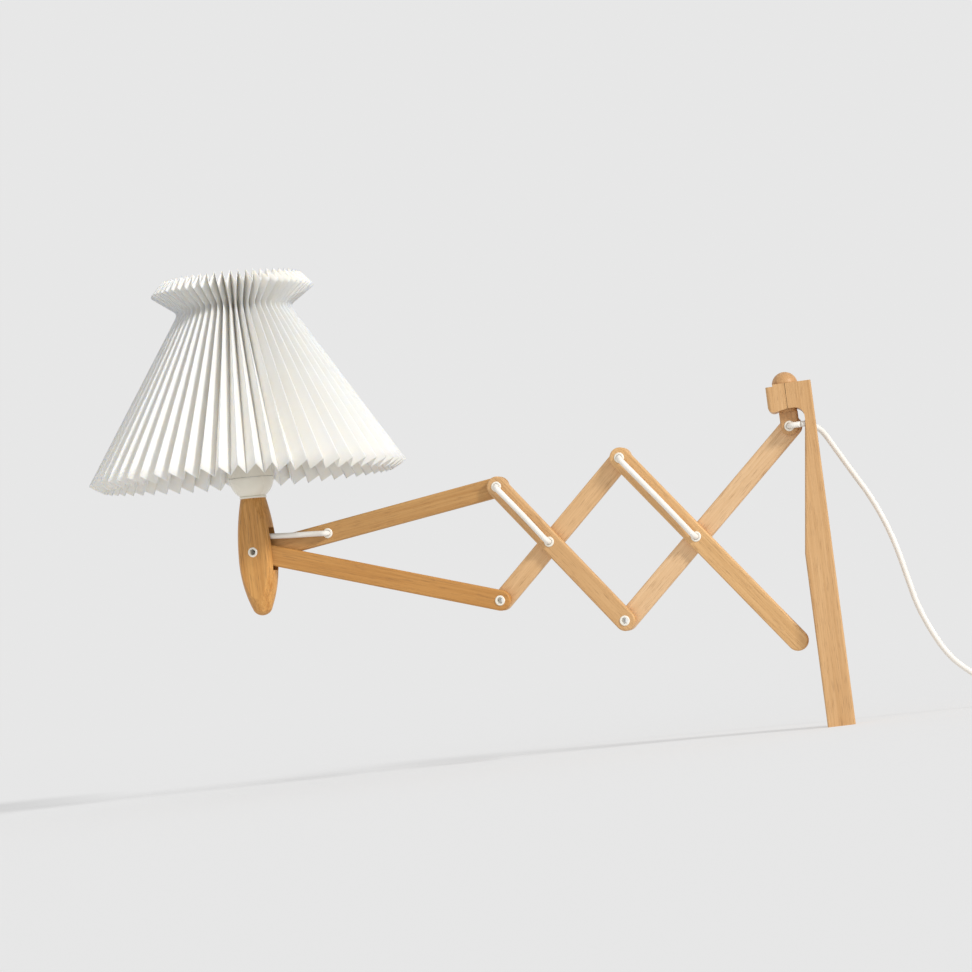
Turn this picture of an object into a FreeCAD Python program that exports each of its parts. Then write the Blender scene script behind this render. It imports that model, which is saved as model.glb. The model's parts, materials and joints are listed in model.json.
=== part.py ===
"""Accordion wall lamp: an oak scissor arm that swivels on a wall bar and carries a pleated shade.

Millimetres, +Z up. The wall plane is y = 0, with the room on the -y side, and the origin is on the wall face
at the middle of the bar's height. The linkage is drawn square to the wall, in planes parallel to YZ, and is
then swung about the swivel pin to where it is stored; +x is the side that shows its eyelets. Before the swing,
arms in the near layer are centred on x = 0, and arms in the far layer lie just behind them.
"""

import FreeCAD
import Part
import math
import os

V = FreeCAD.Vector
AXIS_X = V(1, 0, 0)
AXIS_Y = V(0, 1, 0)
AXIS_Z = V(0, 0, 1)

# ---------------------------------------------------------------- linkage
SEG_OUTER = 68.0  # joint of the two holder arms to the outer crossing
SEG_MIDDLE = 96.0  # outer crossing to an inner joint, and inner joint to the inner crossing
SEG_INNER = 124.0  # inner crossing to the hanger joint, and to the free end
HOLDER_ARM = 234.0  # length between the pivots of a holder arm
FOLD_ANGLE = 47.0  # arm to centreline, as stored
LINK_TILT = 5.45  # centreline above level, rising towards the shade
SWIVEL_AT_REST = -10.4  # how far the linkage is swung about the pin, as stored
ARM_WIDTH = 18.0
ARM_THICKNESS = 6.0
ARM_EDGE_R = 1.6
LAYER_GAP = 0.3
CORD_PORT = 69.3  # from the holder pivot to the cord's eyelet in the upper holder arm

# ---------------------------------------------------------------- eyelets
EYELET_BORE_R = 2.8
EYELET_WALL = 0.5
EYELET_FLANGE_R = 4.5
EYELET_FLANGE_T = 0.8
PIVOT_CLEARANCE = 0.05
FLANGE_CLEARANCE = 0.05

# ---------------------------------------------------------------- wall bar and its head
BAR_LENGTH = 292.0
BAR_WIDTH = 24.0
BAR_THICKNESS = 23.4
BAR_EDGE_R = 1.6
NECK_THICKNESS = 8.7
PIN_FROM_WALL = 22.0
HEAD_HEIGHT = 21.5
NECK_ARCH_R = 8.0
TAPER_LENGTH = 113.0  # height over which the neck grows to the full thickness
TAPER_START = 10.5  # below the head
BLOCK_DEPTH = 16.4
BLOCK_STEP = 1.8
BLOCK_STEP_AT = 10.4
BLOCK_DROP = 2.2
BLOCK_CORNER_R = 5.0
BLOCK_EDGE_R = 3.0
GLUE_LINE = 0.4
DOWEL_R = 1.5
DOWEL_LENGTH = 18.0
DOWEL_SPACING = 19.0
SCREW_HOLE_R = 2.25
SCREW_SINK_R = 4.5
SCREW_SINK_DEPTH = 2.6
SCREW_LOW_FROM_END = 26.0
SCREW_SPACING = 180.0

# ---------------------------------------------------------------- swivel pin
PIN_SHANK_R = 7.6
PIN_CLEARANCE = 0.08
DOME_R = 10.8
DOME_HEIGHT = 10.0
DOME_RIM = 0.8
PIN_END_PLAY = 0.2
TONGUE_WIDTH = 15.6
HANGER_BELOW_TOP = 36.0  # hanger joint below the top of the bar

# ---------------------------------------------------------------- cord
CORD_R = 2.5
CORD_REST = 0.5  # air between a held cord and the arm at mid-span
CORD_CROWN = 2.3  # how far it stands off further at the eyelets
CORD_ARC_SHARE = 0.45
CORD_BORE_R = 3.3
CORD_BORE_X = 7.6
CORD_TO_WALL = 4.6  # middle of the cross bore in the neck
NECK_BEND_R = 5.0
PIN_SWEEP_R = 12.2
PIN_LEAD_X = 5.0  # where the lead at the pin aims, before the swing
CORD_END_GAP = 0.3

# ---------------------------------------------------------------- lamp holder
HEAD_TILT = -2.0  # lean of the holder, as stored
HOLDER_TOP = 48.5
HOLDER_TOP_R = 11.4
HOLDER_SHOULDER_Z = 23.2
HOLDER_SHOULDER_R = 15.9
HOLDER_BELLY_Z = -3.0
HOLDER_BELLY_R = 17.5
HOLDER_HIP_Z = -28.3
HOLDER_HIP_R = 15.5
HOLDER_FOOT = -52.5
HOLDER_FOOT_R = 8.0
HOLDER_BOTTOM = -57.0
HOLDER_FLAT = 24.0
SLOT_TOP = 21.0
SLOT_BOTTOM = -17.5
SLOT_DEPTH = 10.8
SLOT_CLEARANCE = 0.3
HOLDER_BORE_R = 3.0

# ---------------------------------------------------------------- socket
RING_R = 12.2
RING_HEIGHT = 2.0
BALL_R = 20.0
CUP_CENTRE = 67.0
SOCKET_WALL = 1.8
SEAM_GAP = 0.3
CAP_TOP = 106.0
CAP_LIP = 2.4
NIPPLE_R = 5.0
NIPPLE_BORE_R = 2.8
NIPPLE_SINK = 9.0
NUT_R = 8.0
NUT_HEIGHT = 3.5
INSERT_R = 15.5
INSERT_BOTTOM = 66.0
INSERT_TOP = 80.0
SHELL_R = 13.9
SHELL_WALL = 0.5
SHELL_TOP = 101.0
CONTACT_R = 4.0
CONTACT_HEIGHT = 2.5
TERMINAL_R = 2.0
TERMINAL_LENGTH = 6.0
TERMINAL_AT = 9.5

# ---------------------------------------------------------------- bulb
BULB_CAP_R = 12.9
BULB_CAP_TOP = 108.0
BULB_CENTRE = 151.0
BULB_R = 22.5
BULB_NECK_R = 12.5
BULB_NECK_SHARE = 0.72  # of the radius, from the centre down to where the neck starts
BULB_NECK_HOLLOW = 0.4

# ---------------------------------------------------------------- shade and its carrier
PLEATS = 58
PLEAT_WIDTH = 16.5
SHADE_RIM_R = 142.7
SHADE_RIM_Z = 71.8
SHADE_WAIST_R = 50.6
SHADE_WAIST_Z = 219.8
SHADE_TOP_MID_R = 68.4
SHADE_TOP_MID_Z = 242.8
SHADE_OFFSET = 2.4  # the shade hangs this far off the holder's axis, away from the wall
PAPER_SPAN = 1.6  # distance between the two skins, along the shade's slope normal
RING_NUT_R = 24.0
RING_NUT_BOTTOM = 94.0
RING_NUT_HEIGHT = 6.0
RING_NUT_CLEARANCE = 0.1
CARRIER_WIRE_R = 1.2
CARRIER_PLATE_T = 1.2
CARRIER_TOP_R = 29.0
CARRIER_ARMS = 3
THREAD_R = 0.6
THREAD_GAP = 0.25

# ---------------------------------------------------------------- free cord, coil and plug
FLOOR_Z = -BAR_LENGTH / 2
COIL_QUARTERS_IN = 18  # quarter turns on the floor
COIL_QUARTERS_OUT = 17  # quarter turns on top
COIL_INNER_R = 17.5
COIL_PITCH = 5.6
COIL_START = V(-33.0, 179.5, FLOOR_Z + CORD_R)
PLUG_LENGTH = 34.0
PLUG_WIDTH = 24.0
PLUG_HEIGHT = 2 * (COIL_PITCH + CORD_R)  # it lies on the floor, level with the coil's top layer
PLUG_EDGE_R = 4.0
PLUG_SLEEVE_LENGTH = 24.0
PLUG_SLEEVE_R = 4.6
PLUG_PIN_R = 2.0
PLUG_PIN_LENGTH = 19.0
PLUG_PIN_SPACING = 19.0
TAIL_RUNS = (22.0, 20.0, 18.0)
TAIL_TURN = -16.0

# ---------------------------------------------------------------- worked out from the above
BAR_TOP = BAR_LENGTH / 2
HEAD_BOTTOM = BAR_TOP - HEAD_HEIGHT
NEAR_LOW = -ARM_THICKNESS / 2
NEAR_HIGH = ARM_THICKNESS / 2
FAR_HIGH = NEAR_LOW - LAYER_GAP
FAR_LOW = FAR_HIGH - ARM_THICKNESS
MID_X = (NEAR_HIGH + FAR_LOW) / 2
BARREL_R = EYELET_BORE_R + EYELET_WALL
PIVOT_HOLE_R = BARREL_R + PIVOT_CLEARANCE
HANGER_Z = BAR_TOP - HANGER_BELOW_TOP

os.makedirs("parts", exist_ok=True)


def save(name, shape):
    """Write one node; a group of separate pieces is one compound."""
    shape.exportStep("parts/" + name + ".step")


def save_swung(name, shape):
    """Write one node of the linkage, swung about the pin to where it is stored."""
    shape = shape.copy()
    shape.rotate(V(0, -PIN_FROM_WALL, 0), AXIS_Z, SWIVEL_AT_REST)
    save(name, shape)


# ================================================================ small helpers


def ring_face(points):
    """A face from a list of points, where a pair (middle, end) is an arc through the middle."""
    edges = []
    here = points[0]
    for item in points[1:] + [points[0]]:
        if isinstance(item, tuple):
            edges.append(Part.Arc(here, item[0], item[1]).toShape())
            here = item[1]
        elif (item - here).Length > 1e-6:
            edges.append(Part.LineSegment(here, item).toShape())
            here = item
    return Part.Face(Part.Wire(edges))


def turned(profile, centre=V(0, 0, 0), axis=AXIS_Z):
    """Revolve (radius, height) points about an axis; a nested pair of points is an arc."""
    side = AXIS_X if abs(axis.dot(AXIS_X)) < 0.5 else AXIS_Y

    def place(item):
        if isinstance(item[0], tuple):
            return tuple(place(inner) for inner in item)
        return centre + side * item[0] + axis * item[1]

    return ring_face([place(item) for item in profile]).revolve(centre, axis, 360)


def cap_middle(radius, base, top):
    """The middle of the arc of a spherical cap, from its rim to the axis, as (radius, height)."""
    rise = abs(top - base)
    ball = (radius**2 + rise**2) / (2 * rise)
    half = math.atan2(radius, ball - rise) / 2
    drop = ball * (1 - math.cos(half))
    return ball * math.sin(half), top - math.copysign(drop, top - base)


def rod(start, end, radius):
    run = end - start
    return Part.makeCylinder(radius, run.Length, start, run)


def box(low, high):
    size = high - low
    return Part.makeBox(size.x, size.y, size.z, low)


def rounded(shape, radius, wanted):
    """Fillet the edges that the test picks."""
    return shape.makeFillet(radius, [edge for edge in shape.Edges if wanted(edge)])


def unit(vector):
    return vector * (1.0 / vector.Length)


def arc_middle(start, end, corner, radius):
    """The middle of the arc that touches both runs at start and end."""
    inward = unit((start + end) * 0.5 - corner)
    half = (unit(corner - start)).getAngle(unit(end - corner)) / 2
    return corner + inward * (radius / math.cos(half) - radius)


def tube_path(points):
    """Straight runs joined by tangent arcs, each as large as its two runs allow."""
    edges = []
    radii = []
    here = points[0]
    for before, corner, after in zip(points, points[1:], points[2:]):
        run_in = corner - before
        run_out = after - corner
        turn = run_in.getAngle(run_out)
        reach = CORD_ARC_SHARE * min(run_in.Length, run_out.Length)
        radius = reach / math.tan(turn / 2)
        start = corner - unit(run_in) * reach
        end = corner + unit(run_out) * reach
        edges.append(Part.LineSegment(here, start).toShape())
        edges.append(Part.Arc(start, arc_middle(start, end, corner, radius), end).toShape())
        radii.append(radius)
        here = end
    edges.append(Part.LineSegment(here, points[-1]).toShape())
    return Part.Wire(edges), radii


def sweep(path, radius, start, direction):
    profile = Part.Wire([Part.makeCircle(radius, start, direction)])
    return path.makePipeShell([profile], True, False)


def cord_tube(name, points, radius=CORD_R):
    path, radii = tube_path(points)
    solid = sweep(path, radius, points[0], points[1] - points[0])
    share = solid.Volume / (math.pi * radius**2 * path.Length)
    listed = " ".join(f"{value:.1f}" for value in radii)
    print(f"{name}: length {path.Length:.1f}, volume over section x length {share:.4f}, radii {listed}")
    return solid


# ================================================================ linkage layout


def linkage():
    """Joint places in the plane of the linkage, as (y, z)."""
    fold = math.radians(FOLD_ANGLE)
    tilt = math.radians(LINK_TILT)
    spread = math.asin(SEG_OUTER * math.sin(fold) / HOLDER_ARM)
    inner = SEG_INNER
    middle = inner + SEG_MIDDLE
    outer = middle + SEG_MIDDLE
    joint = outer + SEG_OUTER
    local = {
        "hanger": (0, inner * math.sin(fold)),
        "free_end": (0, -inner * math.sin(fold)),
        "inner_crossing": (inner * math.cos(fold), 0),
        "upper_inner": (middle * math.cos(fold), SEG_MIDDLE * math.sin(fold)),
        "lower_inner": (middle * math.cos(fold), -SEG_MIDDLE * math.sin(fold)),
        "outer_crossing": (outer * math.cos(fold), 0),
        "upper_outer": (joint * math.cos(fold), SEG_OUTER * math.sin(fold)),
        "lower_outer": (joint * math.cos(fold), -SEG_OUTER * math.sin(fold)),
        "holder": (joint * math.cos(fold) + HOLDER_ARM * math.cos(spread), 0),
    }

    def turn(reach, rise):
        return V(0, rise * math.sin(tilt) - reach * math.cos(tilt), reach * math.sin(tilt) + rise * math.cos(tilt))

    shift = V(0, -PIN_FROM_WALL, HANGER_Z) - turn(*local["hanger"])
    return {name: turn(*place) + shift for name, place in local.items()}


JOINT = linkage()
HOLDER = JOINT["holder"]


def arm(start, end, low, holes):
    """A flat arm with round ends, from x = low, drilled at the given places."""
    radius = ARM_WIDTH / 2
    along = unit(end - start)
    across = AXIS_X.cross(along)
    base = V(low, 0, 0)
    face = ring_face(
        [
            base + start + across * radius,
            base + end + across * radius,
            (base + end + along * radius, base + end - across * radius),
            base + start - across * radius,
            (base + start - along * radius, base + start + across * radius),
        ]
    )
    blank = face.extrude(AXIS_X * ARM_THICKNESS)
    blank = rounded(blank, ARM_EDGE_R, lambda edge: edge.BoundBox.XLength < 0.01)
    for place in holes:
        drill = Part.makeCylinder(PIVOT_HOLE_R, ARM_THICKNESS * 2, V(low - ARM_THICKNESS / 2, place.y, place.z), AXIS_X)
        blank = blank.cut(drill)
    return blank


def eyelet(place, low, high, front=True, back=True):
    """A hollow eyelet between two faces, with a rounded flange in front and behind."""
    low_out = low - FLANGE_CLEARANCE
    high_out = high + FLANGE_CLEARANCE
    inside = EYELET_FLANGE_R - EYELET_FLANGE_T
    bulge = EYELET_FLANGE_T * math.sqrt(0.5)
    profile = [(EYELET_BORE_R, high_out), (BARREL_R, high_out), (BARREL_R, low_out), (EYELET_BORE_R, low_out)]
    if front:
        top = high_out + EYELET_FLANGE_T
        profile[0:1] = [
            (EYELET_BORE_R, top),
            (inside, top),
            ((inside + bulge, high_out + bulge), (EYELET_FLANGE_R, high_out)),
        ]
    if back:
        base = low_out - EYELET_FLANGE_T
        profile[-1:] = [
            (EYELET_FLANGE_R, low_out),
            ((inside + bulge, low_out - bulge), (inside, base)),
            (EYELET_BORE_R, base),
        ]
    return turned(profile, V(0, place.y, place.z), AXIS_X)


def held_cord(name, start, end, front):
    """A cord that comes out of one eyelet, lies along an arm and goes into the next."""
    face = NEAR_HIGH if front else FAR_LOW
    out = 1 if front else -1
    middle = face + out * (CORD_REST + CORD_R)
    crown = middle + out * CORD_CROWN
    run = end - start
    third = run * (1.0 / 3)
    return cord_tube(
        name,
        [
            start + V(MID_X, 0, 0),
            start + V(crown, 0, 0),
            start + third + V(middle, 0, 0),
            end - third + V(middle, 0, 0),
            end + V(crown, 0, 0),
            end + V(MID_X, 0, 0),
        ],
    )


# ================================================================ wall bar, head block, swivel pin


def wall_bar():
    half = BAR_WIDTH / 2
    taper_top = HEAD_BOTTOM - TAPER_START
    arch = NECK_THICKNESS + NECK_ARCH_R
    bend = NECK_ARCH_R * (1 - math.sqrt(0.5))
    side = V(-half, 0, 0)
    profile = ring_face(
        [
            side + V(0, 0, FLOOR_Z),
            side + V(0, 0, BAR_TOP),
            side + V(0, -PIN_FROM_WALL + GLUE_LINE / 2, BAR_TOP),
            side + V(0, -PIN_FROM_WALL + GLUE_LINE / 2, HEAD_BOTTOM),
            side + V(0, -arch, HEAD_BOTTOM),
            (
                side + V(0, -NECK_THICKNESS - bend, HEAD_BOTTOM - bend),
                side + V(0, -NECK_THICKNESS, HEAD_BOTTOM - NECK_ARCH_R),
            ),
            side + V(0, -NECK_THICKNESS, taper_top),
            side + V(0, -BAR_THICKNESS, taper_top - TAPER_LENGTH),
            side + V(0, -BAR_THICKNESS, FLOOR_Z),
        ]
    )
    bar = profile.extrude(AXIS_X * BAR_WIDTH)

    def long_edge(edge):
        box_of = edge.BoundBox
        front = box_of.YMin < -NECK_THICKNESS - 0.01 and box_of.ZMax < taper_top + 0.01
        back = box_of.YMax > -0.01 and box_of.YLength < 0.01
        return box_of.XLength < 0.01 and box_of.ZLength > TAPER_LENGTH / 2 and (front or back)

    bar = rounded(bar, BAR_EDGE_R, long_edge)
    bar = bar.cut(pin_bore())
    for height in screw_heights():
        hole = Part.makeCylinder(SCREW_HOLE_R, BAR_THICKNESS * 2, V(0, 1, height), -AXIS_Y)
        mouth = bar_front(height)
        sink = Part.makeCone(
            SCREW_HOLE_R, SCREW_SINK_R, SCREW_SINK_DEPTH, V(0, SCREW_SINK_DEPTH - mouth, height), -AXIS_Y
        )
        clear = Part.makeCylinder(SCREW_SINK_R, BAR_THICKNESS, V(0, -mouth, height), -AXIS_Y)
        bar = bar.cut(hole.fuse([sink, clear]))
    return bar.cut(cord_way()).cut(dowels(PIVOT_CLEARANCE))


def bar_front(height):
    """Thickness of the bar at a height, at the lower lip of a screw's countersink."""
    below = (HEAD_BOTTOM - TAPER_START) - (height + SCREW_SINK_R)
    share = min(1.0, below / TAPER_LENGTH)
    return NECK_THICKNESS + (BAR_THICKNESS - NECK_THICKNESS) * share


def screw_heights():
    low = FLOOR_Z + SCREW_LOW_FROM_END
    return low, low + SCREW_SPACING


def pin_bore():
    return Part.makeCylinder(
        PIN_SHANK_R + PIN_CLEARANCE, HEAD_HEIGHT * 2, V(0, -PIN_FROM_WALL, HEAD_BOTTOM - HEAD_HEIGHT / 2), AXIS_Z
    )


def cord_way():
    """The hole in the neck's front and the cross bore that lets the cord out at the far side."""
    entry = Part.makeCylinder(
        CORD_BORE_R, BAR_THICKNESS, V(CORD_BORE_X, -CORD_TO_WALL - BAR_THICKNESS, HANGER_Z), AXIS_Y
    )
    cross = Part.makeCylinder(
        CORD_BORE_R, BAR_WIDTH, V(CORD_BORE_X + CORD_BORE_R - BAR_WIDTH, -CORD_TO_WALL, HANGER_Z), AXIS_X
    )
    return entry.fuse(cross)


def dowels(extra=0.0):
    height = HEAD_BOTTOM + HEAD_HEIGHT / 2
    start = -PIN_FROM_WALL - DOWEL_LENGTH / 2 - extra
    pieces = [
        Part.makeCylinder(DOWEL_R + extra, DOWEL_LENGTH + 2 * extra, V(side, start, height), AXIS_Y)
        for side in (-DOWEL_SPACING / 2, DOWEL_SPACING / 2)
    ]
    return Part.makeCompound(pieces)


def block_plan(half, back, front, low):
    """The block's outline from above, with its two front corners rounded."""
    ease = BLOCK_EDGE_R * (1 - math.sqrt(0.5))
    level = V(0, 0, low)
    return ring_face(
        [
            level + V(-half, back, 0),
            level + V(half, back, 0),
            level + V(half, front + BLOCK_EDGE_R, 0),
            (level + V(half - ease, front + ease, 0), level + V(half - BLOCK_EDGE_R, front, 0)),
            level + V(BLOCK_EDGE_R - half, front, 0),
            (level + V(ease - half, front + ease, 0), level + V(-half, front + BLOCK_EDGE_R, 0)),
        ]
    ).extrude(AXIS_Z * (BAR_TOP - low))


def head_block():
    half = BAR_WIDTH / 2
    back = -PIN_FROM_WALL - GLUE_LINE / 2
    front = -PIN_FROM_WALL - BLOCK_DEPTH
    low = HEAD_BOTTOM - BLOCK_DROP
    bend = BLOCK_CORNER_R * (1 - math.sqrt(0.5))
    step = -PIN_FROM_WALL - BLOCK_STEP_AT
    side = V(-half, 0, 0)
    profile = ring_face(
        [
            side + V(0, back, BAR_TOP),
            side + V(0, step, BAR_TOP),
            side + V(0, step, BAR_TOP - BLOCK_STEP),
            side + V(0, front, BAR_TOP - BLOCK_STEP),
            side + V(0, front, low + BLOCK_CORNER_R),
            (side + V(0, front + bend, low + bend), side + V(0, front + BLOCK_CORNER_R, low)),
            side + V(0, back, HEAD_BOTTOM),
        ]
    )
    block = profile.extrude(AXIS_X * BAR_WIDTH).common(block_plan(half, back, front, low))
    return block.cut(pin_bore()).cut(dowels(PIVOT_CLEARANCE))


def swivel_pin():
    centre = V(0, -PIN_FROM_WALL, 0)
    seat = BAR_TOP + PIN_END_PLAY
    top = HEAD_BOTTOM - BLOCK_DROP - PIN_END_PLAY
    dome = turned(
        [
            (0, top),
            (PIN_SHANK_R, top),
            (PIN_SHANK_R, seat),
            (DOME_R, seat),
            (DOME_R, seat + DOME_RIM),
            (cap_middle(DOME_R, seat + DOME_RIM, seat + DOME_HEIGHT), (0, seat + DOME_HEIGHT)),
        ],
        centre,
    )
    radius = TONGUE_WIDTH / 2
    middle = V(NEAR_LOW, -PIN_FROM_WALL, HANGER_Z)
    tongue = ring_face(
        [
            middle + V(0, radius, 0),
            middle + V(0, radius, top - HANGER_Z),
            middle + V(0, -radius, top - HANGER_Z),
            middle + V(0, -radius, 0),
            (middle + V(0, 0, -radius), middle + V(0, radius, 0)),
        ]
    ).extrude(AXIS_X * ARM_THICKNESS)

    def rim(edge):
        box_of = edge.BoundBox
        return box_of.XLength < 0.01 and box_of.ZLength > 0.01

    tongue = rounded(tongue, ARM_EDGE_R, rim)
    drill = Part.makeCylinder(PIVOT_HOLE_R, ARM_THICKNESS * 2, middle - AXIS_X, AXIS_X)
    return dome.fuse(tongue).removeSplitter().cut(drill)


def lead_at_pin():
    """The short turn of cord from the hanger's eyelet towards the hole in the neck."""
    axis = V(0, -PIN_FROM_WALL, HANGER_Z)
    crown = NEAR_HIGH + CORD_REST + CORD_R + CORD_CROWN
    solid = cord_tube(
        "lead_at_pin",
        [axis + V(MID_X, 0, 0), axis + V(crown, 0, 0), axis + V(PIN_LEAD_X, PIN_SWEEP_R + CORD_R, 0)],
    )
    reach = Part.makeCylinder(PIN_SWEEP_R, 4 * CORD_R, axis - AXIS_Z * 2 * CORD_R, AXIS_Z)
    return solid.common(reach)


def lead_in_neck():
    """The cord inside the neck: in from the front, round a tight bend and out at the far side."""
    start = V(CORD_BORE_X, -PIN_FROM_WALL + PIN_SWEEP_R - CORD_R, HANGER_Z)
    bend_from = V(CORD_BORE_X, -CORD_TO_WALL - NECK_BEND_R, HANGER_Z)
    bend_to = V(CORD_BORE_X - NECK_BEND_R, -CORD_TO_WALL, HANGER_Z)
    corner = V(CORD_BORE_X, -CORD_TO_WALL, HANGER_Z)
    edges = [
        Part.LineSegment(start, bend_from).toShape(),
        Part.Arc(bend_from, arc_middle(bend_from, bend_to, corner, NECK_BEND_R), bend_to).toShape(),
        Part.LineSegment(bend_to, V(-BAR_WIDTH / 2, -CORD_TO_WALL, HANGER_Z)).toShape(),
    ]
    swept = PIN_SWEEP_R + CORD_END_GAP
    reach = Part.makeCylinder(swept, 4 * CORD_R, V(0, -PIN_FROM_WALL, HANGER_Z - 2 * CORD_R), AXIS_Z)
    return sweep(Part.Wire(edges), CORD_R, start, AXIS_Y).cut(reach)


# ================================================================ lamp holder and what it carries


def on_holder(shape):
    """Move a piece from the holder's own frame (pivot at the origin) to its place."""
    shape = shape.copy()
    shape.rotate(V(0, 0, 0), AXIS_X, HEAD_TILT)
    shape.translate(HOLDER)
    return shape


CENTRE = V(MID_X, 0, 0)


def lamp_holder():
    """A turned spindle with two sawn flats and a slot for the arms."""
    body = turned(
        [
            (0, HOLDER_TOP),
            (HOLDER_TOP_R, HOLDER_TOP),
            ((HOLDER_SHOULDER_R, HOLDER_SHOULDER_Z), (HOLDER_BELLY_R, HOLDER_BELLY_Z)),
            ((HOLDER_HIP_R, HOLDER_HIP_Z), (HOLDER_FOOT_R, HOLDER_FOOT)),
            (cap_middle(HOLDER_FOOT_R, HOLDER_FOOT, HOLDER_BOTTOM), (0, HOLDER_BOTTOM)),
        ],
        CENTRE,
    )
    half = HOLDER_FLAT / 2
    span = 2 * HOLDER_BELLY_R
    slab = box(CENTRE + V(-half, -span, HOLDER_BOTTOM - span), CENTRE + V(half, span, HOLDER_TOP + span))
    body = body.common(slab)
    slot = box(
        V(FAR_LOW - SLOT_CLEARANCE, -SLOT_DEPTH, SLOT_BOTTOM),
        V(NEAR_HIGH + SLOT_CLEARANCE, span, SLOT_TOP),
    )
    bore = Part.makeCylinder(HOLDER_BORE_R, HOLDER_TOP, CENTRE, AXIS_Z)
    upper = Part.makeCylinder(
        NIPPLE_R + PIVOT_CLEARANCE, NIPPLE_SINK + PIVOT_CLEARANCE * 2,
        CENTRE + V(0, 0, HOLDER_TOP - NIPPLE_SINK - PIVOT_CLEARANCE), AXIS_Z,
    )
    drill = Part.makeCylinder(BARREL_R + PIVOT_CLEARANCE, 2 * span, V(-span, 0, 0), AXIS_X)
    return body.cut(slot).cut(bore).cut(upper).cut(drill)


def collar_ring():
    hole = NIPPLE_R + PIVOT_CLEARANCE
    low = HOLDER_TOP
    high = HOLDER_TOP + RING_HEIGHT
    edge = RING_HEIGHT / 4
    return turned(
        [
            (hole, low), (RING_R - edge, low), (RING_R, low + edge),
            (RING_R, high - edge), (RING_R - edge, high), (hole, high),
        ],
        CENTRE,
    )


def cup_radius_at(height, radius):
    return math.sqrt(radius**2 - (height - CUP_CENTRE) ** 2)


def socket_cup():
    low = HOLDER_TOP + RING_HEIGHT
    floor = low + SOCKET_WALL
    seam = CUP_CENTRE
    inner = BALL_R - SOCKET_WALL
    middle = (low + seam) / 2
    inner_middle = (floor + seam) / 2
    hole = NIPPLE_R + PIVOT_CLEARANCE
    return turned(
        [
            (hole, low),
            (cup_radius_at(low, BALL_R), low),
            ((cup_radius_at(middle, BALL_R), middle), (BALL_R, seam)),
            (inner, seam),
            ((cup_radius_at(inner_middle, inner), inner_middle), (cup_radius_at(floor, inner), floor)),
            (hole, floor),
        ],
        CENTRE,
    )


def socket_cap():
    low = CUP_CENTRE + SEAM_GAP
    inner = BALL_R - SOCKET_WALL
    mouth = SHELL_R + CAP_LIP / 2
    return turned(
        [
            (inner, low), (BALL_R, low), (BALL_R, CAP_TOP - CAP_LIP / 2), (BALL_R - CAP_LIP / 2, CAP_TOP),
            (mouth, CAP_TOP), (mouth, CAP_TOP - CAP_LIP), (inner, CAP_TOP - CAP_LIP),
        ],
        CENTRE,
    )


def nipple():
    low = HOLDER_TOP - NIPPLE_SINK
    high = HOLDER_TOP + RING_HEIGHT + SOCKET_WALL + NUT_HEIGHT + SEAM_GAP
    return turned([(NIPPLE_BORE_R, low), (NIPPLE_R, low), (NIPPLE_R, high), (NIPPLE_BORE_R, high)], CENTRE)


def lock_nut():
    low = HOLDER_TOP + RING_HEIGHT + SOCKET_WALL
    corners = [CENTRE + V(NUT_R * math.cos(k * math.pi / 3), NUT_R * math.sin(k * math.pi / 3), low) for k in range(6)]
    prism = Part.Face(Part.makePolygon(corners + corners[:1])).extrude(AXIS_Z * NUT_HEIGHT)
    hole = Part.makeCylinder(NIPPLE_R + PIVOT_CLEARANCE, NUT_HEIGHT * 3, CENTRE + V(0, 0, low - NUT_HEIGHT), AXIS_Z)
    return prism.cut(hole)


def terminals(extra=0.0):
    pieces = []
    for side in (-TERMINAL_AT, TERMINAL_AT):
        start = CENTRE + V(side, 0, INSERT_BOTTOM - 1)
        pieces.append(Part.makeCylinder(TERMINAL_R + extra, TERMINAL_LENGTH + extra, start, AXIS_Z))
    return Part.makeCompound(pieces)


def insert():
    blank = Part.makeCylinder(INSERT_R, INSERT_TOP - INSERT_BOTTOM, CENTRE + V(0, 0, INSERT_BOTTOM), AXIS_Z)
    return blank.cut(terminals(PIVOT_CLEARANCE))


def thread_shell():
    low = INSERT_TOP
    inner = SHELL_R - SHELL_WALL
    return turned([(inner, low), (SHELL_R, low), (SHELL_R, SHELL_TOP), (inner, SHELL_TOP)], CENTRE)


def centre_contact():
    return Part.makeCylinder(CONTACT_R, CONTACT_HEIGHT, CENTRE + V(0, 0, INSERT_TOP), AXIS_Z)


def bulb_cap():
    low = INSERT_TOP + CONTACT_HEIGHT
    tip = low + CONTACT_R / 2
    return turned(
        [
            (0, low), (CONTACT_R, low), (CONTACT_R + 1, tip), (BULB_CAP_R, tip + CONTACT_R),
            (BULB_CAP_R, BULB_CAP_TOP), (0, BULB_CAP_TOP),
        ],
        CENTRE,
    )


def bulb_glass():
    low = BULB_CAP_TOP
    join = BULB_CENTRE - BULB_R * BULB_NECK_SHARE
    join_r = math.sqrt(BULB_R**2 - (BULB_CENTRE - join) ** 2)
    top = BULB_CENTRE + BULB_R
    return turned(
        [
            (0, low), (BULB_NECK_R, low),
            (((BULB_NECK_R + join_r) / 2 - BULB_NECK_HOLLOW, (low + join) / 2), (join_r, join)),
            ((BULB_R, BULB_CENTRE), (0, top)),
        ],
        CENTRE,
    )


# ================================================================ pleated shade


SHADE_CENTRE = CENTRE - AXIS_Y * SHADE_OFFSET


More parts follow.
